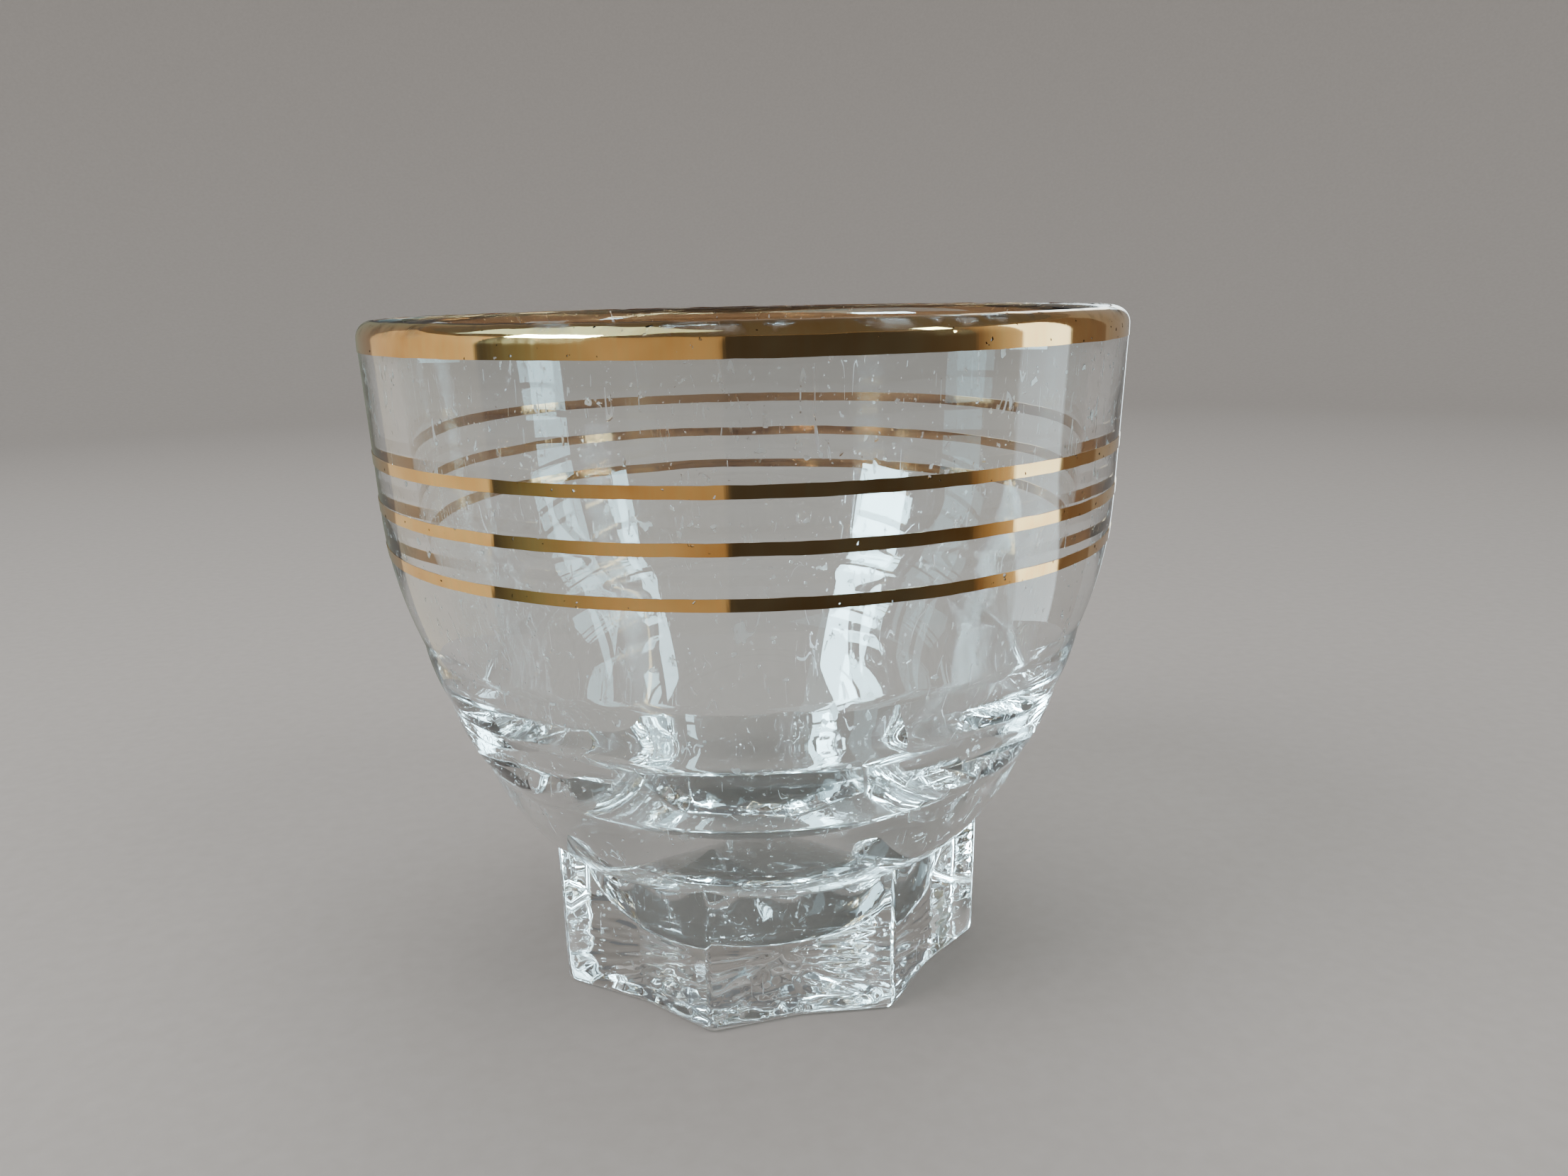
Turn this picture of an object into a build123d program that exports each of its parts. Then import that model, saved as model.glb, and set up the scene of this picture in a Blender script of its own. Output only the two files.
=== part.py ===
"""Pressed shot glass with an eight-sided foot and four fired gold lines.

Millimetres, +Z up. The origin is the centre of the foot's underside.
The body is one piece of glass. Each gold line is a separate thin ring that is
fired onto the outside of the glass.
"""

from build123d import *
from math import cos, pi, radians, sin
import os

os.makedirs("parts", exist_ok=True)

# Overall sizes
glass_height = 48.3
rim_radius = 27.0

# Upper wall: a short upright rim, then a wall that draws in slightly
rim_wall = 2.2
rim_crown_flat = 0.1
rim_upright = 1.9
wall_draw_in = 0.5

# Lower bowl: a plain curve, then three stacked steps that end on the foot
curve_draw_in = 2.05
curve_height = 9.4
step_draw_in = [1.4, 2.2, 3.45]
step_height = [4.2, 5.0, 5.8]
step_bulge = [0.19, 0.30, 0.38]
under_draw_in = 4.4
under_height = 2.3
under_bulge = 0.45

# Foot: a prism with eight ridges and a shallow valley between each pair
foot_height = 11.1
foot_sides = 8
ridge_inset = 0.1
valley_depth = 0.62
foot_draft = 1.2
foot_edge_chamfer = 0.6

# Hollow: wall thicknesses at each level, its dished floor and the glass left under it
shoulder_wall = 2.5
step_wall = [2.7, 3.1, 3.7]
foot_wall = 4.2
floor_radius = 7.4
floor_rise = 0.5
base_thickness = 2.8
hollow_clearance = 5.0

# Gold lines
gold_thickness = 0.05
gold_line_width = 0.77
gold_line_pitch = 3.18
first_line_below_rim = 8.95

# Heights and radii that follow from the sizes above
rim_edge_radius = (rim_wall - rim_crown_flat) / 2
upright_low = glass_height - rim_upright
step_top = [foot_height + sum(step_height[i:]) for i in range(3)]
shoulder_height = step_top[0] + curve_height
shoulder_radius = rim_radius - wall_draw_in
step_top_radius = [
    shoulder_radius - curve_draw_in - sum(step_draw_in[:i]) for i in range(3)
]
foot_joint_radius = step_top_radius[2] - step_draw_in[2]
ridge_radius = foot_joint_radius - ridge_inset - foot_height * sin(radians(foot_draft))
valley_radius = ridge_radius * cos(pi / foot_sides) - valley_depth
under_radius = foot_joint_radius - under_draw_in
under_low = foot_height - under_height


def draw_outer_side(grow=0.0):
    """Draw the bowl's outer outline, moved outwards by grow, and close it on the axis."""
    top = (rim_radius + grow, glass_height)
    upright_end = (rim_radius + grow, upright_low)
    shoulder = (shoulder_radius + grow, shoulder_height)
    first_step = (step_top_radius[0] + grow, step_top[0])
    Line((0, glass_height), top)
    Line(top, upright_end)
    wall = Line(upright_end, shoulder)
    TangentArc(shoulder, first_step, tangent=wall % 1)
    start = first_step
    for level in range(3):
        radius = step_top_radius[level] - step_draw_in[level]
        end = (radius + grow, step_top[level] - step_height[level])
        SagittaArc(start, end, step_bulge[level])
        start = end
    under_end = (under_radius + grow, under_low)
    SagittaArc(start, under_end, under_bulge)
    Line(under_end, (0, under_low))
    Line((0, under_low), (0, glass_height))


# Glass body: bowl and foot in one piece, then hollowed out from the top
with BuildPart() as glass_body:
    with BuildSketch(Plane.XZ) as bowl_section:
        with BuildLine() as bowl_outline:
            draw_outer_side()
        make_face()
    revolve(axis=Axis.Z)

    foot_points = []
    for corner in range(2 * foot_sides):
        corner_radius = valley_radius if corner % 2 == 0 else ridge_radius
        corner_angle = corner * pi / foot_sides
        foot_points.append((corner_radius * cos(corner_angle), corner_radius * sin(corner_angle)))
    with BuildSketch(Plane.XY) as foot_section:
        Polygon(*foot_points, align=None)
    extrude(amount=foot_height, taper=-foot_draft)
    foot_edges = glass_body.faces().sort_by(Axis.Z)[0].edges()
    chamfer(foot_edges, length=foot_edge_chamfer)

    with BuildSketch(Plane.XZ) as hollow_section:
        with BuildLine() as hollow_outline:
            mouth_radius = rim_radius - rim_wall
            mouth_low = (mouth_radius, upright_low)
            shoulder_inside = (shoulder_radius - shoulder_wall, shoulder_height)
            step_inside = [
                (step_top_radius[level] - step_wall[level], step_top[level]) for level in range(3)
            ]
            foot_inside = (foot_joint_radius - foot_wall, foot_height)
            floor_centre = (0, base_thickness)
            floor_edge = (floor_radius, base_thickness + floor_rise)
            mouth_top = glass_height + hollow_clearance
            hollow_floor = TangentArc(floor_centre, floor_edge, tangent=(1, 0))
            inner_wall = Line(shoulder_inside, mouth_low)
            Spline(
                floor_edge,
                foot_inside,
                *reversed(step_inside),
                shoulder_inside,
                tangents=[hollow_floor % 1, inner_wall % 0],
            )
            Line(mouth_low, (mouth_radius, mouth_top))
            Line((mouth_radius, mouth_top), (0, mouth_top))
            Line((0, mouth_top), floor_centre)
        make_face()
    revolve(axis=Axis.Z, mode=Mode.SUBTRACT)

    rim_edges = glass_body.faces().sort_by(Axis.Z)[-1].edges()
    fillet(rim_edges, radius=rim_edge_radius)

glass_body.part.label = "glass_body"
export_step(glass_body.part, "parts/glass_body.step")


# Rim line: gold over the outer half of the rounded rim and down the upright
with BuildPart() as rim_gold_band:
    with BuildSketch(Plane.XZ) as rim_section:
        with BuildLine() as rim_outline:
            crown_radius = rim_radius - rim_edge_radius
            crown_low = glass_height - rim_edge_radius
            outside_radius = rim_radius + gold_thickness
            outside_top = glass_height + gold_thickness
            Line((rim_radius, upright_low), (rim_radius, crown_low))
            RadiusArc((rim_radius, crown_low), (crown_radius, glass_height), -rim_edge_radius)
            Line((crown_radius, glass_height), (crown_radius, outside_top))
            RadiusArc(
                (crown_radius, outside_top),
                (outside_radius, crown_low),
                rim_edge_radius + gold_thickness,
            )
            Line((outside_radius, crown_low), (outside_radius, upright_low))
            Line((outside_radius, upright_low), (rim_radius, upright_low))
        make_face()
    revolve(axis=Axis.Z)

rim_gold_band.part.label = "rim_gold_band"
export_step(rim_gold_band.part, "parts/rim_gold_band.step")


# Three thinner lines round the upper bowl, each one following the outside of the glass
for line_number, line_name in enumerate(["upper", "middle", "lower"]):
    line_height = glass_height - first_line_below_rim - line_number * gold_line_pitch
    with BuildPart() as gold_band:
        with BuildSketch(Plane.XZ) as band_section:
            with BuildLine() as gold_outside:
                draw_outer_side(gold_thickness)
            make_face()
            with BuildLine() as gold_inside:
                draw_outer_side()
            make_face(mode=Mode.SUBTRACT)
            with Locations((rim_radius, line_height)):
                Rectangle(rim_radius, gold_line_width, mode=Mode.INTERSECT)
        revolve(axis=Axis.Z)

    gold_band.part.label = line_name + "_gold_band"
    export_step(gold_band.part, "parts/" + line_name + "_gold_band.step")
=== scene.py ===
"""Pressed shot glass with gold lines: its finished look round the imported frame."""

import math
import random

import bpy
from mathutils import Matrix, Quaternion, Vector


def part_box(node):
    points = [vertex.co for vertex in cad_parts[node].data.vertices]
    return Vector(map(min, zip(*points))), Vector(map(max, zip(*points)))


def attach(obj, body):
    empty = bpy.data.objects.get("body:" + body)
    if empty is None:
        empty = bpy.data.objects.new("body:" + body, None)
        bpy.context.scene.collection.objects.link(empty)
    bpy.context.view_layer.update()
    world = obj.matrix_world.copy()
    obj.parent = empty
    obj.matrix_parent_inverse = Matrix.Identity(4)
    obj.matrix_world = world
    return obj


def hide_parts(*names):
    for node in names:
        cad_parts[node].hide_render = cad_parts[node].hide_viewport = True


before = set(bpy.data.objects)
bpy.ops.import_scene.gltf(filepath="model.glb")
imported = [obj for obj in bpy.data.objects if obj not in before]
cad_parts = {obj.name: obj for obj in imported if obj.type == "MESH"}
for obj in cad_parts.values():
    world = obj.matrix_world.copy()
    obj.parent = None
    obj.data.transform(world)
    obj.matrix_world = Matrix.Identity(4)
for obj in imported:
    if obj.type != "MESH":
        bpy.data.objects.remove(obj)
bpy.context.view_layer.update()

bl_info = {
    "name": "Gold-lined Shot Glass",
    "version": (1, 0, 0),
    "blender": (4, 5, 0),
    "location": "View3D > Sidebar > Shot Glass",
    "description": "Builds a pressed shot glass with an eight-sided foot and fired gold lines",
    "category": "Add Mesh",
}

GLASS_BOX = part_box("glass_body")
RIM_BAND_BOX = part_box("rim_gold_band")
LINE_NODES = ("upper_gold_band", "middle_gold_band", "lower_gold_band")
MM = 0.001
FOOT_SIDES = 8
# steps at the low end of the bowl's outline that lie inside the glass of the foot
UNDER_HIDDEN = 3
# the ends of a turned outline meet within the first, and slivers of a cut are below the second
SEAM_GAP = 0.002 * MM
SLIVER = 0.001 * MM
# an arc that swells less than this is drawn straight
STRAIGHT = 1e-6 * MM


# ---------------------------------------------------------------- settings


class GlassSizes(bpy.types.PropertyGroup):
    """Sizes of the glass that the frame does not state"""

    rim_wall: bpy.props.FloatProperty(
        name="Rim wall", description="Thickness of the glass at the rim",
        default=2.2 * MM, min=0.5 * MM, unit="LENGTH")
    rim_upright: bpy.props.FloatProperty(
        name="Rim upright", description="Height of the upright stretch below the rim",
        default=1.9 * MM, unit="LENGTH")
    wall_draw_in: bpy.props.FloatProperty(
        name="Wall draw-in", description="How far the wall draws in down to the shoulder",
        default=0.5 * MM, unit="LENGTH")
    curve_draw_in: bpy.props.FloatProperty(
        name="Curve draw-in", description="How far the plain curve draws in to the first step",
        default=2.05 * MM, unit="LENGTH")
    curve_height: bpy.props.FloatProperty(
        name="Curve height", description="Height of the plain curve above the first step",
        default=9.4 * MM, unit="LENGTH")
    step_draw_in: bpy.props.FloatVectorProperty(
        name="Step draw-in", description="How far each step draws in, from the top down",
        size=3, default=(1.4 * MM, 2.2 * MM, 3.45 * MM), unit="LENGTH")
    step_height: bpy.props.FloatVectorProperty(
        name="Step height", description="Height of each step, from the top down",
        size=3, default=(4.2 * MM, 5.0 * MM, 5.8 * MM), unit="LENGTH")
    step_bulge: bpy.props.FloatVectorProperty(
        name="Step bulge", description="How far each step swells out of a straight cone",
        size=3, default=(0.19 * MM, 0.30 * MM, 0.38 * MM), unit="LENGTH")
    under_draw_in: bpy.props.FloatProperty(
        name="Under-curve draw-in", description="How far the bowl turns in below the foot's top",
        default=4.4 * MM, unit="LENGTH")
    under_height: bpy.props.FloatProperty(
        name="Under-curve height", description="Height of the turn below the foot's top",
        default=2.3 * MM, unit="LENGTH")
    under_bulge: bpy.props.FloatProperty(
        name="Under-curve bulge", description="How far that turn swells",
        default=0.45 * MM, unit="LENGTH")
    foot_height: bpy.props.FloatProperty(
        name="Foot height", description="Height of the foot at its ridges",
        default=11.1 * MM, unit="LENGTH")
    ridge_inset: bpy.props.FloatProperty(
        name="Ridge inset", description="How far the ridges stand inside the bowl above them",
        default=0.1 * MM, unit="LENGTH")
    valley_depth: bpy.props.FloatProperty(
        name="Valley depth", description="Depth of the valley in the middle of each side",
        default=0.62 * MM, unit="LENGTH")
    foot_draft: bpy.props.FloatProperty(
        name="Foot draft", description="Slope of the foot's sides",
        default=math.radians(1.2), subtype="ANGLE")
    foot_edge: bpy.props.FloatProperty(
        name="Foot edge", description="Rounding of the foot's bottom edge",
        default=0.6 * MM, unit="LENGTH")
    base_thickness: bpy.props.FloatProperty(
        name="Base thickness", description="Glass left under the hollow",
        default=2.8 * MM, unit="LENGTH")
    floor_radius: bpy.props.FloatProperty(
        name="Floor radius", description="Radius of the dished floor of the hollow",
        default=7.4 * MM, unit="LENGTH")
    floor_rise: bpy.props.FloatProperty(
        name="Floor rise", description="How far the dished floor rises to its edge",
        default=0.5 * MM, unit="LENGTH")
    shoulder_wall: bpy.props.FloatProperty(
        name="Shoulder wall", description="Wall at the shoulder",
        default=2.5 * MM, unit="LENGTH")
    step_wall: bpy.props.FloatVectorProperty(
        name="Step walls", description="Wall at the top of each step",
        size=3, default=(2.7 * MM, 3.1 * MM, 3.7 * MM), unit="LENGTH")
    foot_wall: bpy.props.FloatProperty(
        name="Foot wall", description="Wall at the top of the foot",
        default=4.2 * MM, unit="LENGTH")
    ridge_edge: bpy.props.FloatProperty(
        name="Ridge edge", description="Rounding of the foot's ridges",
        default=0.3 * MM, unit="LENGTH")
    mould_wave: bpy.props.FloatProperty(
        name="Mould wave", description="Unevenness that the mould leaves on the glass",
        default=0.03 * MM, unit="LENGTH")
    chill_depth: bpy.props.FloatProperty(
        name="Chill depth", description="Depth of the hollows in the chilled underside",
        default=0.3 * MM, unit="LENGTH")
    bubbles: bpy.props.IntProperty(
        name="Bubbles", description="Number of bubbles trapped in the foot", default=16, min=0)
    gold_proud: bpy.props.FloatProperty(
        name="Gold proud", description="How far the gold stands off the glass",
        default=0.05 * MM, unit="LENGTH")
    gold_sunk: bpy.props.FloatProperty(
        name="Gold sunk", description="How far the gold reaches into the glass",
        default=0.02 * MM, unit="LENGTH")
    brush_wander: bpy.props.FloatProperty(
        name="Brush wander", description="How far a line's edges wander",
        default=0.08 * MM, unit="LENGTH")
    turns: bpy.props.IntProperty(
        name="Turned segments", description="Divisions round the turned surfaces",
        default=256, min=32)


class GlassFinish(bpy.types.PropertyGroup):
    """Colours and finish of the glass and the gold"""

    glass_tint: bpy.props.FloatVectorProperty(
        name="Glass tint", description="Colour of light that has passed the glass",
        subtype="COLOR", size=3, default=(0.965, 0.985, 0.98), min=0, max=1)
    glass_ior: bpy.props.FloatProperty(
        name="Index of refraction", description="How strongly the glass bends light", default=1.52)
    glass_shadow: bpy.props.FloatVectorProperty(
        name="Glass shadow", description="What each surface lets through of the light that it shades",
        subtype="COLOR", size=3, default=(0.77, 0.79, 0.79), min=0, max=1)
    gold_light: bpy.props.FloatVectorProperty(
        name="Gold", description="Colour of the fired gold where it is full",
        subtype="COLOR", size=3, default=(0.93, 0.61, 0.27), min=0, max=1)
    gold_dark: bpy.props.FloatVectorProperty(
        name="Thin gold", description="Colour of the gold where it is thin",
        subtype="COLOR", size=3, default=(0.68, 0.37, 0.13), min=0, max=1)
    gold_olive: bpy.props.FloatVectorProperty(
        name="Streaked gold", description="Colour of the streaks that the brush left",
        subtype="COLOR", size=3, default=(0.70, 0.60, 0.30), min=0, max=1)
    # painted shade: the back face of the gold, seen through the glass, gets a darker colour that stands
    # in for the shade falling there
    gold_back_painted_shade: bpy.props.FloatVectorProperty(
        name="Back of the gold", description="Colour of the gold seen through the glass it is fired on",
        subtype="COLOR", size=3, default=(0.42, 0.24, 0.12), min=0, max=1)


# ---------------------------------------------------------------- drawing helpers


def clear_selection():
    """Leave edit mode and deselect every object."""
    if bpy.context.object and bpy.context.object.mode != "OBJECT":
        bpy.ops.object.mode_set(mode="OBJECT")
    bpy.ops.object.select_all(action="DESELECT")


def arc_points(start, end, bulge, count):
    """Points after start, up to end, on the arc that swells out of the chord by bulge."""
    start, end = Vector(start), Vector(end)
    chord = end - start
    half = chord.length / 2
    outward = Vector((-chord.y, chord.x)).normalized()
    if abs(bulge) < STRAIGHT:
        return [start.lerp(end, (i + 1) / count) for i in range(count)]
    radius = (half * half + bulge * bulge) / (2 * bulge)
    centre = (start + end) / 2 + outward * (bulge - radius)
    sweep = 2 * math.asin(half / radius)
    arm = start - centre
    points = []
    for i in range(1, count + 1):
        angle = sweep * i / count
        cosine, sine = math.cos(angle), math.sin(-angle)
        turned = Vector((arm.x * cosine - arm.y * sine, arm.x * sine + arm.y * cosine))
        points.append(centre + turned)
    return points


def tangent_bulge(start, end, tangent):
    """The bulge of the arc from start to end that leaves start along tangent."""
    chord = Vector(end) - Vector(start)
    turn = Vector(tangent).angle(chord)
    return chord.length / 2 * math.tan(turn / 2)


def smooth_points(points, first_slope, last_slope, count):
    """A smooth curve through points, count steps to each gap, with the slopes at its ends."""
    points = [Vector(p) for p in points]
    slopes = [Vector(first_slope).normalized() * (points[1] - points[0]).length]
    for before, after in zip(points, points[2:]):
        slopes.append((after - before) / 2)
    slopes.append(Vector(last_slope).normalized() * (points[-1] - points[-2]).length)
    curve = []
    for i in range(len(points) - 1):
        for step in range(1, count + 1):
            t = step / count
            near = (2 * t**3 - 3 * t**2 + 1) * points[i] + (t**3 - 2 * t**2 + t) * slopes[i]
            far = (3 * t**2 - 2 * t**3) * points[i + 1] + (t**3 - t**2) * slopes[i + 1]
            curve.append(near + far)
    return curve


class Levels:
    """Heights and radii of the glass, worked out from the frame and the sizes."""

    def __init__(self, sizes):
        self.height = GLASS_BOX[1][2]
        self.rim_radius = GLASS_BOX[1][0]
        self.lip = sizes.rim_wall / 2
        self.upright_low = self.height - sizes.rim_upright
        self.step_top = [sizes.foot_height + sum(sizes.step_height[i:]) for i in range(3)]
        self.shoulder = (self.rim_radius - sizes.wall_draw_in, self.step_top[0] + sizes.curve_height)
        self.step_radius = [
            self.shoulder[0] - sizes.curve_draw_in - sum(sizes.step_draw_in[:i]) for i in range(3)
        ]
        self.foot_joint = (self.step_radius[2] - sizes.step_draw_in[2], sizes.foot_height)


def outer_side(sizes, levels):
    """The outside of the bowl from the end of the rounded rim down to the foot's top."""
    wall_top = (levels.rim_radius, levels.upright_low)
    first_step = (levels.step_radius[0], levels.step_top[0])
    points = [Vector((levels.rim_radius, levels.height - levels.lip)), Vector(wall_top)]
    points += arc_points(wall_top, levels.shoulder, 0, 16)
    slope = Vector(levels.shoulder) - Vector(wall_top)
    points += arc_points(
        levels.shoulder, first_step, tangent_bulge(levels.shoulder, first_step, slope), 16)
    start = first_step
    for level in range(3):
        radius = levels.step_radius[level] - sizes.step_draw_in[level]
        end = (radius, levels.step_top[level] - sizes.step_height[level])
        points += arc_points(start, end, sizes.step_bulge[level], 12)
        start = end
    under = (levels.foot_joint[0] - sizes.under_draw_in, sizes.foot_height - sizes.under_height)
    points += arc_points(levels.foot_joint, under, sizes.under_bulge, 8)
    return points


def inner_side(sizes, levels):
    """The inside of the bowl from the end of the rounded rim down to its lowest point."""
    mouth = levels.rim_radius - sizes.rim_wall
    mouth_low = (mouth, levels.upright_low)
    shoulder = (levels.shoulder[0] - sizes.shoulder_wall, levels.shoulder[1])
    through = [shoulder]
    through += [
        (levels.step_radius[i] - sizes.step_wall[i], levels.step_top[i]) for i in range(3)
    ]
    through.append((levels.foot_joint[0] - sizes.foot_wall, sizes.foot_height))
    floor_centre = Vector((0, sizes.base_thickness))
    floor_edge = Vector((sizes.floor_radius, sizes.base_thickness + sizes.floor_rise))
    through.append(floor_edge)
    points = [Vector((mouth, levels.height - levels.lip)), Vector(mouth_low)]
    points += arc_points(mouth_low, shoulder, 0, 16)
    slope = Vector(shoulder) - Vector(mouth_low)
    dish = 2 * math.atan(sizes.floor_rise / sizes.floor_radius)
    points += smooth_points(through, slope, (-math.cos(dish), -math.sin(dish)), 14)
    points += arc_points(
        floor_edge, floor_centre, tangent_bulge(floor_centre, floor_edge, (1, 0)), 10)
    return points


def lip_points(radius, levels, grow, count):
    """Half circle over the rim, from outside to inside, grown by grow."""
    centre = Vector((radius - levels.lip, levels.height - levels.lip))
    reach = levels.lip + grow
    angles = [math.pi * i / count for i in range(count + 1)]
    return [centre + Vector((reach * math.cos(a), reach * math.sin(a))) for a in angles]


def draw_outline(name, points):
    """Trace points, as radius and height, in the XZ plane by extruding one vertex."""
    clear_selection()
    first = points[0]
    bpy.ops.mesh.primitive_plane_add(size=MM, location=(first[0], 0, first[1]))
    piece = bpy.context.object
    piece.name = name
    bpy.ops.object.transform_apply(location=True, rotation=True, scale=True)
    bpy.ops.object.mode_set(mode="EDIT")
    bpy.ops.mesh.select_mode(type="VERT")
    bpy.ops.mesh.select_all(action="SELECT")
    bpy.ops.mesh.merge(type="CENTER")
    for before, after in zip(points, points[1:]):
        step = (after[0] - before[0], 0, after[1] - before[1])
        bpy.ops.mesh.extrude_region_move(TRANSFORM_OT_translate={"value": step})
    return piece


def turn_outline(piece, turns):
    """Spin the outline that is open in edit mode once round the Z axis and close its seam."""
    bpy.ops.mesh.select_all(action="SELECT")
    bpy.ops.mesh.spin(steps=turns, angle=2 * math.pi, center=(0, 0, 0), axis=(0, 0, 1))
    bpy.ops.mesh.select_all(action="SELECT")
    bpy.ops.mesh.remove_doubles(threshold=SEAM_GAP)
    bpy.ops.mesh.normals_make_consistent(inside=False)
    bpy.ops.object.mode_set(mode="OBJECT")
    return piece


def on_corner(place, odd):
    """Whether a place is in line with a ridge of the foot, where odd is 1, or with a valley."""
    slack = 0.01
    corner = math.atan2(place.y, place.x) / (math.pi / FOOT_SIDES)
    nearest = round(corner)
    return nearest % 2 == odd and abs(corner - nearest) < slack


def select_vertices(piece, wanted):
    """From edit mode, select only the vertices whose place passes wanted."""
    bpy.ops.mesh.select_all(action="DESELECT")
    bpy.ops.mesh.select_mode(type="VERT")
    bpy.ops.object.mode_set(mode="OBJECT")
    for vertex in piece.data.vertices:
        vertex.select = wanted(vertex.co)
    bpy.ops.object.mode_set(mode="EDIT")


def select_edges(piece, wanted):
    """From edit mode, select only the edges whose two ends both pass wanted."""
    bpy.ops.mesh.select_mode(type="EDGE")
    bpy.ops.mesh.select_all(action="DESELECT")
    bpy.ops.object.mode_set(mode="OBJECT")
    places = [vertex.co for vertex in piece.data.vertices]
    for edge in piece.data.edges:
        edge.select = all(wanted(places[end]) for end in edge.vertices)
    bpy.ops.object.mode_set(mode="EDIT")


def select_faces(piece, wanted):
    """From edit mode, select only the faces whose centre and normal pass wanted."""
    bpy.ops.mesh.select_mode(type="FACE")
    bpy.ops.mesh.select_all(action="DESELECT")
    bpy.ops.object.mode_set(mode="OBJECT")
    for face in piece.data.polygons:
        face.select = wanted(face.center, face.normal)
    bpy.ops.object.mode_set(mode="EDIT")


def smooth_by_angle(piece, degrees):
    """Shade the piece smooth, apart from edges sharper than the angle."""
    clear_selection()
    piece.select_set(True)
    bpy.context.view_layer.objects.active = piece
    bpy.ops.object.shade_smooth_by_angle(angle=math.radians(degrees))


def apply_modifier(piece, kind, **settings):
    """Add one modifier to the piece and apply it."""
    modifier = piece.modifiers.new(kind.title(), kind)
    for key, value in settings.items():
        setattr(modifier, key, value)
    bpy.context.view_layer.objects.active = piece
    bpy.ops.object.modifier_apply(modifier=modifier.name)


def ripple(piece, wavelength, depth, weight=None, direction="NORMAL", middle=0.5):
    """Push the surface in and out by a soft cloud pattern, where weight says how much."""
    texture = bpy.data.textures.new(piece.name + "_ripple", "CLOUDS")
    texture.noise_scale = wavelength
    texture.noise_depth = 1
    settings = dict(
        texture=texture, texture_coords="LOCAL", strength=depth, mid_level=middle,
        direction=direction)
    if weight:
        group = piece.vertex_groups.new(name="ripple")
        for vertex in piece.data.vertices:
            group.add([vertex.index], weight(vertex.co), "REPLACE")
        settings["vertex_group"] = group.name
    apply_modifier(piece, "DISPLACE", **settings)
    piece.vertex_groups.clear()
    bpy.data.textures.remove(texture)


# ---------------------------------------------------------------- materials


def new_material(name):
    """A material whose one shader, a Principled one, feeds its output."""
    material = bpy.data.materials.new(name)
    material.use_nodes = True
    nodes = material.node_tree.nodes
    nodes.clear()
    output = nodes.new("ShaderNodeOutputMaterial")
    shader = nodes.new("ShaderNodeBsdfPrincipled")
    material.node_tree.links.new(shader.outputs["BSDF"], output.inputs["Surface"])
    return material, shader


def add_node(material, kind, inputs=None, **settings):
    """Add a node; each input is given as a value or as the output that feeds it."""
    node = material.node_tree.nodes.new(kind)
    for key, value in settings.items():
        setattr(node, key, value)
    for key, value in (inputs or {}).items():
        if isinstance(value, bpy.types.NodeSocket):
            material.node_tree.links.new(value, node.inputs[key])
        else:
            node.inputs[key].default_value = value
    return node


def feed(material, output, shader, socket):
    """Link an output to one of the shader's sockets."""
    material.node_tree.links.new(output, shader.inputs[socket])


def object_place(material):
    """Where a point lies on the piece, in metres."""
    return add_node(material, "ShaderNodeTexCoord").outputs["Object"]


def stretched_place(material, scale):
    """Object coordinates stretched by scale, for streaks and scratches."""
    node = add_node(
        material, "ShaderNodeMapping", {"Vector": object_place(material), "Scale": scale})
    return node.outputs["Vector"]


def noise(material, place, scale, detail=2.0):
    """Soft cloudy values at a place, with about scale waves to the metre."""
    node = add_node(
        material, "ShaderNodeTexNoise", {"Vector": place, "Scale": scale, "Detail": detail})
    return node.outputs["Fac"]


def between(material, value, low, high, to_low=0.0, to_high=1.0):
    """Spread value's range from low to high over the range from to_low to to_high."""
    node = add_node(
        material, "ShaderNodeMapRange",
        {"Value": value, "From Min": low, "From Max": high, "To Min": to_low, "To Max": to_high})
    return node.outputs["Result"]


def calculate(material, operation, *values):
    """A Math node's result for values that are numbers or outputs."""
    node = add_node(material, "ShaderNodeMath", dict(enumerate(values)), operation=operation)
    return node.outputs["Value"]


def blend_colours(material, factor, first, second):
    """The first colour where factor is nought, the second where it is one."""
    sides = {"A": first, "B": second}
    sides = {key: side if hasattr(side, "node") else (*side, 1) for key, side in sides.items()}
    node = add_node(material, "ShaderNodeMix", {"Factor": factor, **sides}, data_type="RGBA")
    return node.outputs["Result"]


def scratches_and_flecks(material):
    """One on fine upright scratches, which break off in places, and on small flecks."""
    hair_width = 0.006
    place = object_place(material)
    hills = noise(material, stretched_place(material, (1.0, 1.0, 0.1)), 420.0)
    hairs = calculate(material, "COMPARE", hills, 0.5, hair_width)
    stretches = between(material, noise(material, place, 520.0), 0.58, 0.62)
    scratches = calculate(material, "MULTIPLY", hairs, stretches)
    flecks = between(material, noise(material, place, 1300.0), 0.70, 0.72)
    return calculate(material, "MAXIMUM", scratches, flecks)


def lighten_shadow(material, shader, colour):
    """Let the glass colour the light that makes its shadow, and not stop it."""
    clear = add_node(material, "ShaderNodeBsdfTransparent", {"Color": (*colour, 1)})
    ray = add_node(material, "ShaderNodeLightPath")
    mixed = add_node(
        material, "ShaderNodeMixShader",
        {0: ray.outputs["Is Shadow Ray"], 1: shader.outputs["BSDF"], 2: clear.outputs["BSDF"]})
    output = next(n for n in material.node_tree.nodes if n.type == "OUTPUT_MATERIAL")
    feed(material, mixed.outputs["Shader"], output, "Surface")


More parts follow.
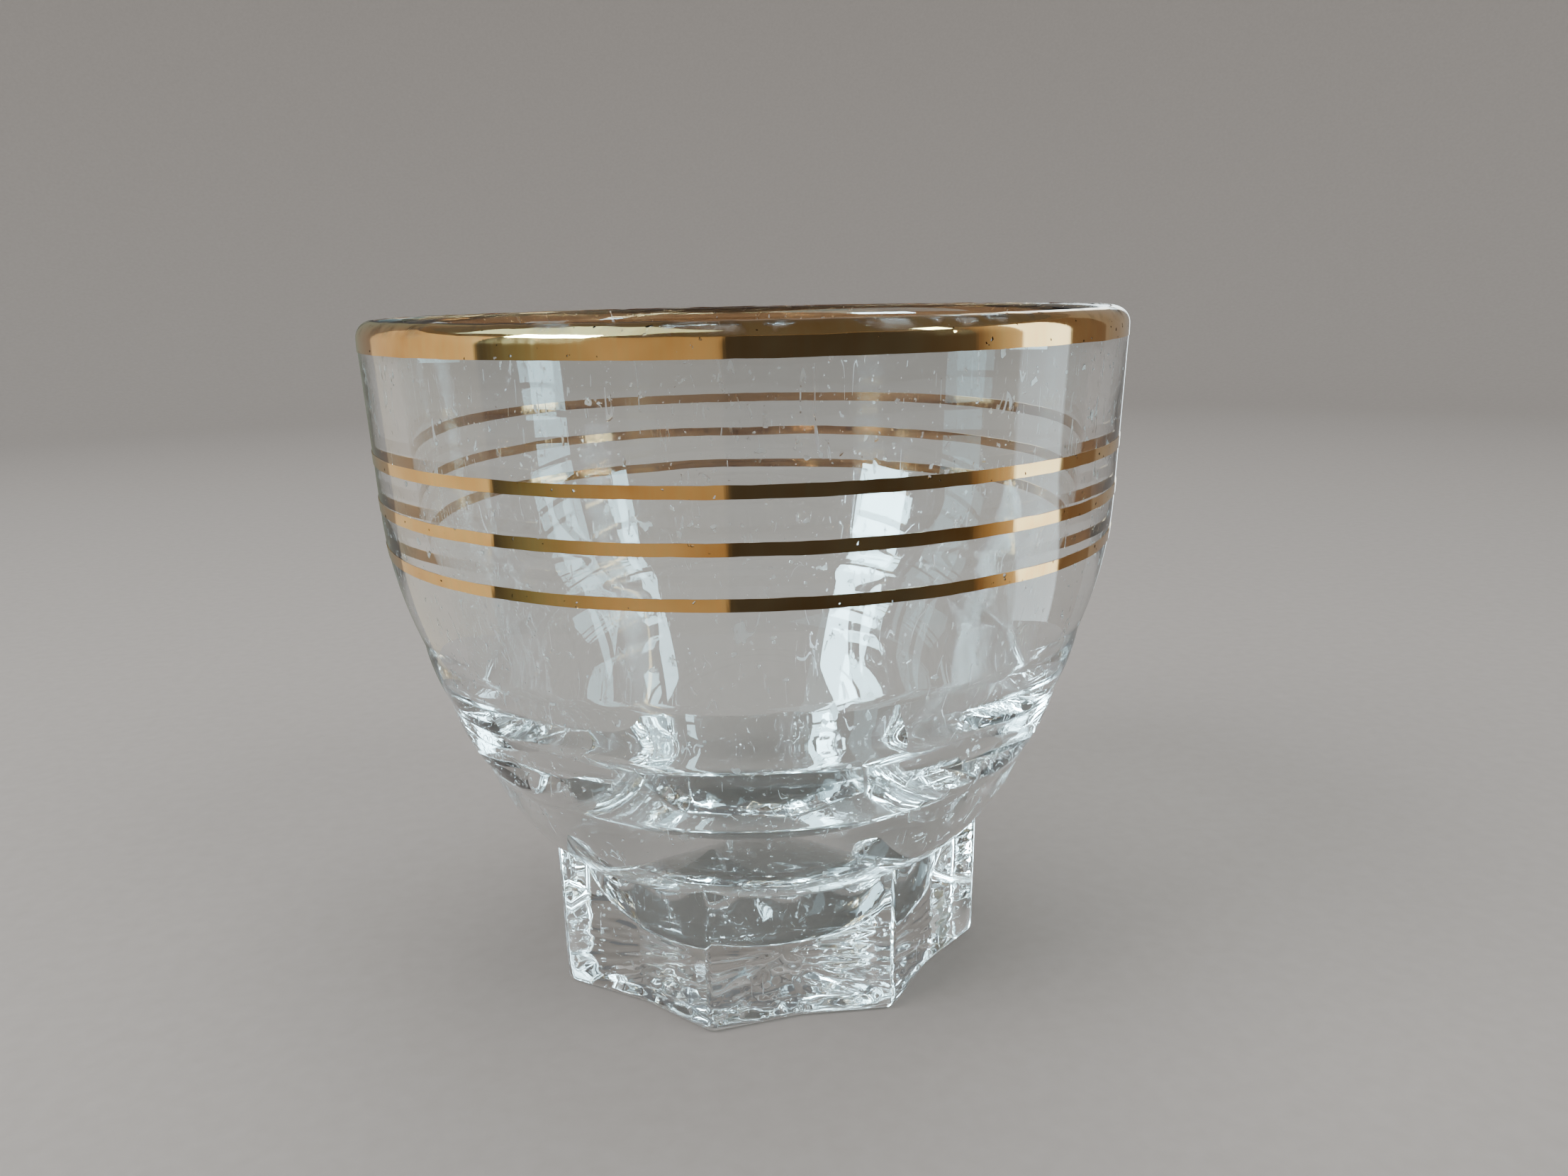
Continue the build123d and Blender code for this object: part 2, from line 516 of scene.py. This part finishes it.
def glass_material(finish):
    """Clear pressed glass, marked by use."""
    dullest_mark, mark_depth = 0.3, 0.02 * MM
    material, shader = new_material("pressed_clear_glass")
    shader.inputs["Base Color"].default_value = (*finish.glass_tint, 1)
    shader.inputs["IOR"].default_value = finish.glass_ior
    shader.inputs["Transmission Weight"].default_value = 1.0
    marks = scratches_and_flecks(material)
    feed(material, between(material, marks, 0.0, 1.0, 0.0, dullest_mark), shader, "Roughness")
    dents = add_node(
        material, "ShaderNodeBump", {"Height": marks, "Strength": 0.4, "Distance": -mark_depth})
    feed(material, dents.outputs["Normal"], shader, "Normal")
    lighten_shadow(material, shader, finish.glass_shadow)
    return material


def outer_face(material):
    """One where the surface faces away from the Z axis, nought where it faces the axis."""
    least = -5 * MM
    where = add_node(material, "ShaderNodeTexCoord")
    arm = add_node(
        material, "ShaderNodeVectorMath", {0: where.outputs["Object"], 1: (1.0, 1.0, 0.0)},
        operation="MULTIPLY")
    facing = add_node(
        material, "ShaderNodeVectorMath", {0: arm.outputs["Vector"], 1: where.outputs["Normal"]},
        operation="DOT_PRODUCT")
    return between(material, facing.outputs["Value"], least, 0.0)


def gold_colour(material, finish, place, streaks):
    """Cloudy gold with olive streaks where it is brushed on thin, and painted shade on its back face.
    """
    clouds = noise(material, place, 150.0, 3.0)
    thick = between(material, clouds, 0.34, 0.62)
    colour = blend_colours(material, thick, finish.gold_dark, finish.gold_light)
    streaked = between(material, streaks, 0.35, 0.75, 0.0, 0.45)
    thin = calculate(material, "MULTIPLY", streaked, clouds)
    colour = blend_colours(material, thin, colour, finish.gold_olive)
    # painted shade: where the gold faces the axis it takes the darker colour that stands in for shade
    return blend_colours(material, outer_face(material), finish.gold_back_painted_shade, colour)


def gold_cover(material, place):
    """How much of the gold is left: it has pinholes, and is rubbed on the crest of the rim."""
    crest = GLASS_BOX[1][2]
    pinholes = between(material, noise(material, place, 1900.0), 0.70, 0.72)
    height = add_node(material, "ShaderNodeSeparateXYZ", {"Vector": place}).outputs["Z"]
    on_lip = between(material, height, crest - 0.9 * MM, crest - 0.1 * MM)
    rubbed = between(material, noise(material, place, 420.0, 5.0), 0.46, 0.60, 0.0, 0.85)
    worn = calculate(material, "MULTIPLY", on_lip, rubbed)
    bare = calculate(material, "MAXIMUM", worn, pinholes)
    return calculate(material, "SUBTRACT", 1.0, bare)


def gold_material(finish):
    """Fired gold: brushed on thin, streaked, darker in patches, with pinholes and rubbed spots."""
    streak_depth = 0.02 * MM
    material, shader = new_material("brushed_fired_gold")
    shader.inputs["Metallic"].default_value = 1.0
    place = object_place(material)
    streaks = noise(material, stretched_place(material, (1.0, 1.0, 0.06)), 2600.0)
    feed(material, gold_colour(material, finish, place, streaks), shader, "Base Color")
    feed(material, between(material, streaks, 0.3, 0.7, 0.03, 0.08), shader, "Roughness")
    brushed = add_node(
        material, "ShaderNodeBump",
        {"Height": streaks, "Strength": 0.08, "Distance": streak_depth})
    feed(material, brushed.outputs["Normal"], shader, "Normal")
    feed(material, gold_cover(material, place), shader, "Alpha")
    return material


def paper_material():
    """Pale matt studio paper."""
    material, shader = new_material("studio_paper")
    fibre = noise(material, object_place(material), 700.0, 3.0)
    colour = blend_colours(material, fibre, (0.46, 0.42, 0.385), (0.53, 0.49, 0.455))
    feed(material, colour, shader, "Base Color")
    shader.inputs["Roughness"].default_value = 0.9
    shader.inputs["Specular IOR Level"].default_value = 0.0
    return material


def reflector_material(zones):
    """Light and dark zones round the glass: where each starts and ends, and its colours there."""
    material = bpy.data.materials.new("reflector")
    material.use_nodes = True
    material.node_tree.nodes.clear()
    turn = add_node(
        material, "ShaderNodeTexGradient", {"Vector": object_place(material)},
        gradient_type="RADIAL")
    ramp = add_node(material, "ShaderNodeValToRGB", {"Fac": turn.outputs["Fac"]})
    stops = ramp.color_ramp.elements
    stops.remove(stops[1])
    stops[0].color = (*max(zones)[-1], 1)
    for start, end, first, last in zones:
        stops.new(start).color = (*first, 1)
        stops.new(end).color = (*last, 1)
    glow(material, ramp.outputs["Color"], 4.0)
    return material


def glow(material, colour, strength):
    """Make the material give off light of one colour, or of the colour that an output gives."""
    light = add_node(material, "ShaderNodeEmission", {"Color": colour, "Strength": strength})
    output = add_node(material, "ShaderNodeOutputMaterial")
    feed(material, light.outputs["Emission"], output, "Surface")


# ---------------------------------------------------------------- pieces


class SHOTGLASS_OT_glass_body(bpy.types.Operator):
    """Turn the bowl, press the eight-sided foot onto it and finish the glass"""

    bl_idname = "shotglass.glass_body"
    bl_label = "Glass Body"
    bl_options = {"REGISTER", "UNDO"}

    def execute(self, context):
        sizes = context.scene.glass_sizes
        levels = Levels(sizes)
        bowl = self.turn_bowl(sizes, levels)
        foot = self.press_foot(sizes, levels)
        self.pierce_foot(sizes, levels, foot)
        self.roughen_foot(sizes, levels, foot)
        self.join(bowl, foot, "UNION")
        self.trap_bubbles(sizes, levels, bowl)
        bowl.data.materials.clear()
        bowl.data.materials.append(glass_material(context.scene.glass_finish))
        for face in bowl.data.polygons:
            face.material_index = 0
        smooth_by_angle(bowl, 28)
        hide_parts("glass_body")
        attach(bowl, "root")
        return {"FINISHED"}

    def join(self, piece, tool, operation):
        """Cut or join the piece with a tool, which is used up, and clear the slivers it leaves."""
        clear_selection()
        piece.select_set(True)
        apply_modifier(piece, "BOOLEAN", object=tool, operation=operation, solver="EXACT")
        bpy.data.objects.remove(tool)
        bpy.ops.object.mode_set(mode="EDIT")
        bpy.ops.mesh.select_mode(type="VERT")
        bpy.ops.mesh.select_all(action="SELECT")
        bpy.ops.mesh.dissolve_degenerate(threshold=SLIVER)
        bpy.ops.object.mode_set(mode="OBJECT")

    def turn_bowl(self, sizes, levels):
        """Turn the whole skin of the bowl, down to the plug of glass that fills the foot."""
        outline = list(reversed(outer_side(sizes, levels)[:-UNDER_HIDDEN]))
        core_low = sizes.base_thickness / 2
        outline = [Vector((0, core_low)), Vector((outline[0].x, core_low))] + outline
        outline += lip_points(levels.rim_radius, levels, 0, 16)[1:]
        outline += inner_side(sizes, levels)[1:]
        bowl = draw_outline("glass_body_shown", outline)
        turn_outline(bowl, sizes.turns)
        ripple(bowl, 9 * MM, sizes.mould_wave)
        return bowl

    def press_foot(self, sizes, levels):
        """The eight-sided prism with a valley down each side and softened edges."""
        top = levels.foot_joint[0] - sizes.ridge_inset
        low = top - sizes.foot_height * math.sin(sizes.foot_draft)
        foot = self.draft_prism(sizes, low, top)
        self.soften_foot(sizes, foot, low / 2)
        self.ring_underside(foot)
        bpy.ops.object.mode_set(mode="OBJECT")
        return foot

    def draft_prism(self, sizes, low, top):
        """A prism with its valleys drawn in and its top drawn out, left open in edit mode."""
        clear_selection()
        bpy.ops.mesh.primitive_cylinder_add(
            vertices=2 * FOOT_SIDES, radius=low, depth=sizes.foot_height,
            location=(0, 0, sizes.foot_height / 2), end_fill_type="NGON")
        foot = bpy.context.object
        foot.name = "foot_blank"
        bpy.ops.object.transform_apply(location=True, rotation=True, scale=True)
        bpy.ops.object.mode_set(mode="EDIT")
        select_vertices(foot, lambda place: on_corner(place, 0))
        draw_in = math.cos(math.pi / FOOT_SIDES) - sizes.valley_depth / low
        bpy.ops.transform.resize(value=(draw_in, draw_in, 1), center_override=(0, 0, 0))
        select_vertices(foot, lambda place: place.z > sizes.foot_height / 2)
        bpy.ops.transform.resize(value=(top / low, top / low, 1), center_override=(0, 0, 0))
        select_faces(foot, lambda centre, normal: abs(normal.z) < 0.5)
        bpy.ops.mesh.subdivide(number_cuts=8)
        return foot

    def soften_foot(self, sizes, foot, near):
        """Round the bottom edge, the ridges and, less, the valleys, all further out than near."""
        select_edges(foot, lambda place: place.z < SLIVER)
        bpy.ops.mesh.bevel(offset=sizes.foot_edge, segments=4, affect="EDGES")
        select_edges(foot, lambda place: on_corner(place, 1) and place.xy.length > near)
        bpy.ops.mesh.bevel(offset=sizes.ridge_edge, segments=4, affect="EDGES")
        select_edges(foot, lambda place: on_corner(place, 0) and place.xy.length > near)
        bpy.ops.mesh.bevel(offset=sizes.ridge_edge / 2, segments=2, affect="EDGES")

    def ring_underside(self, foot):
        """Divide the underside into rings, which its hollows need."""
        rings = 16
        select_faces(foot, lambda centre, normal: normal.z < -0.99 and centre.z < SLIVER)
        for ring in range(rings, 1, -1):
            closer = (ring - 1) / ring
            bpy.ops.mesh.extrude_region_move()
            bpy.ops.transform.resize(value=(closer, closer, 1), center_override=(0, 0, 0))
        bpy.ops.mesh.merge(type="CENTER")

    def pierce_foot(self, sizes, levels, foot):
        """Open a round hole in the prism whose wall and floor lie inside the bowl's glass."""
        inset, plug_turns = 0.8 * MM, 64
        core = outer_side(sizes, levels)[-UNDER_HIDDEN - 1]
        wall = [
            Vector((core.x - inset, core.y)),
            Vector((levels.foot_joint[0] - 2 * inset, sizes.foot_height)),
        ]
        wall.append(wall[1] + (wall[1] - wall[0]) / 2)
        floor = 0.75 * sizes.base_thickness
        outline = [Vector((0, floor)), Vector((core.x - inset, floor))] + wall
        outline.append(Vector((0, wall[-1].y)))
        plug = draw_outline("plug", outline)
        turn_outline(plug, plug_turns)
        self.join(foot, plug, "DIFFERENCE")

    def roughen_foot(self, sizes, levels, foot):
        """Give the sides the faint waves of the mould and the underside its chilled hollows."""
        hollows_end, hollows_fade, level = levels.foot_joint[0] - 3.4 * MM, 1.5 * MM, 0.05 * MM

        def on_side(place):
            return min(1.0, max(0.0, place.z / MM - sizes.foot_edge / MM))

        def underneath(place):
            if place.z > level:
                return 0.0
            return min(1.0, max(0.0, (hollows_end - place.xy.length) / hollows_fade))

        ripple(foot, 5 * MM, 2.5 * sizes.mould_wave, on_side)
        ripple(foot, 1.6 * MM, sizes.chill_depth, underneath, direction="Z", middle=0.0)

    def trap_bubbles(self, sizes, levels, bowl):
        """Close a few small bubbles of air inside the glass of the foot, round the hollow."""
        chance = random.Random(8)
        glass_reach = levels.foot_joint[0] - 2 * MM
        bubbles = []
        for _ in range(sizes.bubbles):
            angle = chance.uniform(0, 2 * math.pi)
            reach = chance.uniform(0.70, 0.93) * glass_reach
            height = chance.uniform(0.12, 0.6) * sizes.foot_height
            radius = chance.uniform(0.10, 0.26) * MM
            clear_selection()
            bpy.ops.mesh.primitive_ico_sphere_add(
                subdivisions=2, radius=radius,
                location=(reach * math.cos(angle), reach * math.sin(angle), height))
            bpy.ops.object.transform_apply(location=True, rotation=True, scale=True)
            bpy.ops.object.mode_set(mode="EDIT")
            bpy.ops.mesh.select_all(action="SELECT")
            bpy.ops.mesh.flip_normals()
            bpy.ops.object.mode_set(mode="OBJECT")
            bubbles.append(bpy.context.object)
        clear_selection()
        for piece in (*bubbles, bowl):
            piece.select_set(True)
        bpy.context.view_layer.objects.active = bowl
        bpy.ops.object.join()


def finish_gold(piece, node, context):
    """Give a band its slightly uneven edges, its gold and its place in the frame."""
    brush_wave = 1.7 * MM
    ripple(piece, brush_wave, context.scene.glass_sizes.brush_wander, direction="Z")
    gold = bpy.data.materials.get("brushed_fired_gold") or gold_material(context.scene.glass_finish)
    piece.data.materials.append(gold)
    smooth_by_angle(piece, 30)
    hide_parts(node)
    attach(piece, "root")


class SHOTGLASS_OT_gold_lines(bpy.types.Operator):
    """Lay the three thin gold lines round the upper bowl"""

    bl_idname = "shotglass.gold_lines"
    bl_label = "Gold Lines"
    bl_options = {"REGISTER", "UNDO"}

    def execute(self, context):
        sizes = context.scene.glass_sizes
        side = outer_side(sizes, Levels(sizes))
        for node in LINE_NODES:
            low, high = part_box(node)
            line = draw_outline(node + "_shown", self.section(sizes, side, low[2], high[2]))
            turn_outline(line, sizes.turns)
            finish_gold(line, node, context)
        return {"FINISHED"}

    def section(self, sizes, side, low, high):
        """The thin section of a line between two heights, laid on the outer side."""
        steps = 6

        def radius_at(height):
            for above, below in zip(side, side[1:]):
                if below.y <= height <= above.y and above.y > below.y:
                    share = (height - below.y) / (above.y - below.y)
                    return below.x + (above.x - below.x) * share
            raise ValueError("the line is off the glass")

        heights = [low + (high - low) * i / steps for i in range(steps + 1)]
        outside = [Vector((radius_at(h) + sizes.gold_proud, h)) for h in heights]
        inside = [Vector((radius_at(h) - sizes.gold_sunk, h)) for h in reversed(heights)]
        return outside + inside + outside[:1]


class SHOTGLASS_OT_rim_gold(bpy.types.Operator):
    """Lay the gold over the outer half of the rounded rim"""

    bl_idname = "shotglass.rim_gold"
    bl_label = "Rim Gold"
    bl_options = {"REGISTER", "UNDO"}

    def execute(self, context):
        sizes = context.scene.glass_sizes
        band = draw_outline("rim_gold_band_shown", self.section(sizes, Levels(sizes)))
        turn_outline(band, sizes.turns)
        finish_gold(band, "rim_gold_band", context)
        return {"FINISHED"}

    def section(self, sizes, levels):
        """The thin section that stands up the wall and bends over half of the rounded rim."""
        lip_steps, wall_steps = 12, 6
        outside_low = Vector((levels.rim_radius + sizes.gold_proud, RIM_BAND_BOX[0][2]))
        inside_low = Vector((levels.rim_radius - sizes.gold_sunk, RIM_BAND_BOX[0][2]))
        over, under = [
            lip_points(levels.rim_radius, levels, grow, 2 * lip_steps)[:lip_steps + 1]
            for grow in (sizes.gold_proud, -sizes.gold_sunk)
        ]
        wall = arc_points(outside_low, over[0], 0, wall_steps)
        return [outside_low, *wall, *over[1:], *reversed(under), inside_low, outside_low]


class SHOTGLASS_OT_stage(bpy.types.Operator):
    """Set the pale floor, the soft lights, the reflectors and the camera"""

    bl_idname = "shotglass.stage"
    bl_label = "Stage"
    bl_options = {"REGISTER", "UNDO"}

    # the side that the camera stands on, in degrees round from +X
    camera_azimuth = -100.0
    stage_turns = 96
    # each light's degrees off the camera's side and above the floor, distance, size and strength
    softboxes = (
        ("left_light", -61, 45, 0.62, (0.3, 0.3), 2.8),
        ("right_light", 58, 45, 0.62, (0.3, 0.3), 1.1),
        ("overhead_light", 160, 75, 0.62, (0.4, 0.4), 1.4),
    )
    windows = (
        ("left_window", -61, 31, 0.42, (0.16, 0.25), 110.0),
        ("right_window", 58, 30, 0.42, (0.05, 0.24), 30.0),
        ("low_right_window", 88, 17, 0.34, (0.10, 0.20), 13.0),
        ("low_left_window", -98, 17, 0.34, (0.12, 0.20), 4.0),
        ("ceiling_glow", -75, 62, 0.50, (0.45, 0.30), 2.2),
    )

    def execute(self, context):
        self.add_floor(context)
        self.add_reflector(context)
        self.add_lights(context)
        self.add_camera(context)
        return {"FINISHED"}

    def add_floor(self, context):
        """A wide round floor whose edge sweeps up into a backdrop on every side."""
        reach, sweep, height, below = 0.45, 0.25, 0.55, 0.02 * MM
        sweep_bulge = -sweep * (1 - math.sqrt(0.5))
        points = [Vector((0, -below)), Vector((reach, -below))]
        points += arc_points(points[-1], (reach + sweep, sweep), sweep_bulge, 16)
        points.append(Vector((reach + sweep, height)))
        floor = draw_outline("stage_floor", points)
        turn_outline(floor, self.stage_turns)
        floor.data.materials.append(paper_material())
        floor.data.shade_smooth()

    def add_reflector(self, context):
        """A low ring round the glass, seen only in its gloss, with light and dark zones."""
        near, far, height, lift = 0.065, 0.2, 0.16, 1 * MM
        points = [Vector((near, lift)), Vector((far, lift)), Vector((far, height))]
        ring = draw_outline("reflector", points)
        turn_outline(ring, self.stage_turns)
        ring.data.materials.append(reflector_material(self.zones()))
        ring.visible_camera = False
        ring.visible_diffuse = False
        ring.visible_transmission = False
        ring.visible_shadow = False

    def zones(self):
        """Where each zone starts and ends, in turns, and its colours at both ends."""
        dark, dim = (0.016, 0.017, 0.019), (0.026, 0.024, 0.022)
        brown, olive = (0.05, 0.04, 0.032), (0.055, 0.06, 0.045)
        orange, peach, window = (0.125, 0.105, 0.075), (0.21, 0.185, 0.135), (0.80, 0.95, 1.0)
        plain = (0.08, 0.077, 0.073)
        # the degrees off the camera's side where a zone starts, and its colours at both ends
        facing = [
            (-125, peach, peach), (-73, dark, olive), (-59, olive, orange), (-35, orange, orange),
            (-5.5, dark, dark), (40, dark, dim), (62, brown, peach), (77, window, window),
            (97, brown, brown), (118, plain, plain), (150, window, window), (163, plain, plain),
            (185, dark, dark), (205, olive, plain),
        ]
        # a radial gradient starts half a turn on, and each zone meets the next over an edge
        turned, edge = self.camera_azimuth + 180, 0.4
        ends = [start for start, _, _ in facing[1:]] + [facing[0][0] + 360]
        return [
            ((start + turned) % 360 / 360, (end + turned - edge) % 360 / 360, first, last)
            for (start, first, last), end in zip(facing, ends)
        ]

    def add_lights(self, context):
        """A dim world, softboxes for the floor and windows for the gloss."""
        world = bpy.data.worlds.new("studio")
        context.scene.world = world
        world.use_nodes = True
        background = world.node_tree.nodes["Background"]
        background.inputs["Color"].default_value = (0.82, 0.86, 0.9, 1)
        background.inputs["Strength"].default_value = 0.17
        for softbox in self.softboxes:
            self.add_softbox(*softbox)
        for window in self.windows:
            self.add_window(*window)

    def spot(self, facing, rise, distance):
        """A point round the glass by its angle off the camera's side, and the turn that faces in."""
        target = Vector((0, 0, 0.02))
        azimuth, rise = math.radians(facing + self.camera_azimuth), math.radians(rise)
        place = distance * Vector((
            math.cos(azimuth) * math.cos(rise), math.sin(azimuth) * math.cos(rise), math.sin(rise)))
        return place, (target - place).to_track_quat("-Z", "Y").to_euler()

    def add_softbox(self, name, facing, rise, distance, size, power):
        """A soft light that lights the floor and the glass but leaves no mark in its gloss."""
        place, turn = self.spot(facing, rise, distance)
        bpy.ops.object.light_add(type="AREA", location=place, rotation=turn)
        light = bpy.context.object
        light.name = name
        light.data.shape = "RECTANGLE"
        light.data.size, light.data.size_y = size
        light.data.energy = power
        light.data.color = (0.93, 0.97, 1.0)
        light.visible_camera = False
        light.visible_glossy = False
        light.visible_transmission = False

    def add_window(self, name, facing, rise, distance, size, strength):
        """A bright pane that shows only in the gloss and in the bent light of the glass."""
        place, turn = self.spot(facing, rise, distance)
        clear_selection()
        bpy.ops.mesh.primitive_plane_add(size=1.0, location=place, rotation=turn)
        pane = bpy.context.object
        pane.name = name
        pane.scale = (*size, 1)
        bpy.ops.object.transform_apply(location=True, rotation=True, scale=True)
        material = bpy.data.materials.new(name)
        material.use_nodes = True
        material.node_tree.nodes.clear()
        glow(material, (0.58, 0.88, 1.0, 1), strength)
        pane.data.materials.append(material)
        pane.visible_camera = False
        pane.visible_diffuse = False
        pane.visible_shadow = False

    def add_camera(self, context):
        """A camera a little above the rim that looks slightly down, past the middle, and tilts."""
        bpy.ops.object.camera_add()
        camera = context.object
        camera.name = "camera"
        rim = GLASS_BOX[1][0]
        distance, height = 3.403 * rim, 1.849 * rim
        azimuth, pitch, yaw, roll = (
            math.radians(angle) for angle in (self.camera_azimuth, 13.70, 1.50, -1.19))
        camera.location = (distance * math.cos(azimuth), distance * math.sin(azimuth), height)
        heading = azimuth + math.pi - yaw
        look = Vector((
            math.cos(heading) * math.cos(pitch),
            math.sin(heading) * math.cos(pitch),
            -math.sin(pitch)))
        turn = look.to_track_quat("-Z", "Y") @ Quaternion((0, 0, 1), roll)
        camera.rotation_euler = turn.to_euler()
        camera.data.sensor_width = 36.0
        camera.data.lens = 28.26
        camera.data.clip_start = 0.005
        context.scene.camera = camera
        self.let_light_through(context.scene.cycles)

    def let_light_through(self, light_paths):
        """Let light bounce long enough in thick glass, and keep its small highlights bright."""
        light_paths.max_bounces = 32
        light_paths.transmission_bounces = 32
        light_paths.glossy_bounces = 16
        light_paths.sample_clamp_indirect = 60.0
        light_paths.caustics_reflective = False
        light_paths.caustics_refractive = False


class SHOTGLASS_PT_panel(bpy.types.Panel):
    """The steps that build the glass, in order"""

    bl_label = "Shot Glass"
    bl_idname = "SHOTGLASS_PT_panel"
    bl_space_type = "VIEW_3D"
    bl_region_type = "UI"
    bl_category = "Shot Glass"

    def draw(self, context):
        for operator in OPERATORS:
            self.layout.operator(operator.bl_idname)


OPERATORS = (
    SHOTGLASS_OT_stage,
    SHOTGLASS_OT_glass_body,
    SHOTGLASS_OT_gold_lines,
    SHOTGLASS_OT_rim_gold,
)
CLASSES = (GlassSizes, GlassFinish, *OPERATORS, SHOTGLASS_PT_panel)


def register():
    for cls in CLASSES:
        bpy.utils.register_class(cls)
    bpy.types.Scene.glass_sizes = bpy.props.PointerProperty(type=GlassSizes)
    bpy.types.Scene.glass_finish = bpy.props.PointerProperty(type=GlassFinish)


def unregister():
    del bpy.types.Scene.glass_finish
    del bpy.types.Scene.glass_sizes
    for cls in reversed(CLASSES):
        bpy.utils.unregister_class(cls)


def main():
    register()
    bpy.ops.shotglass.stage()
    bpy.ops.shotglass.glass_body()
    bpy.ops.shotglass.gold_lines()
    bpy.ops.shotglass.rim_gold()


if __name__ == "__main__":
    main()
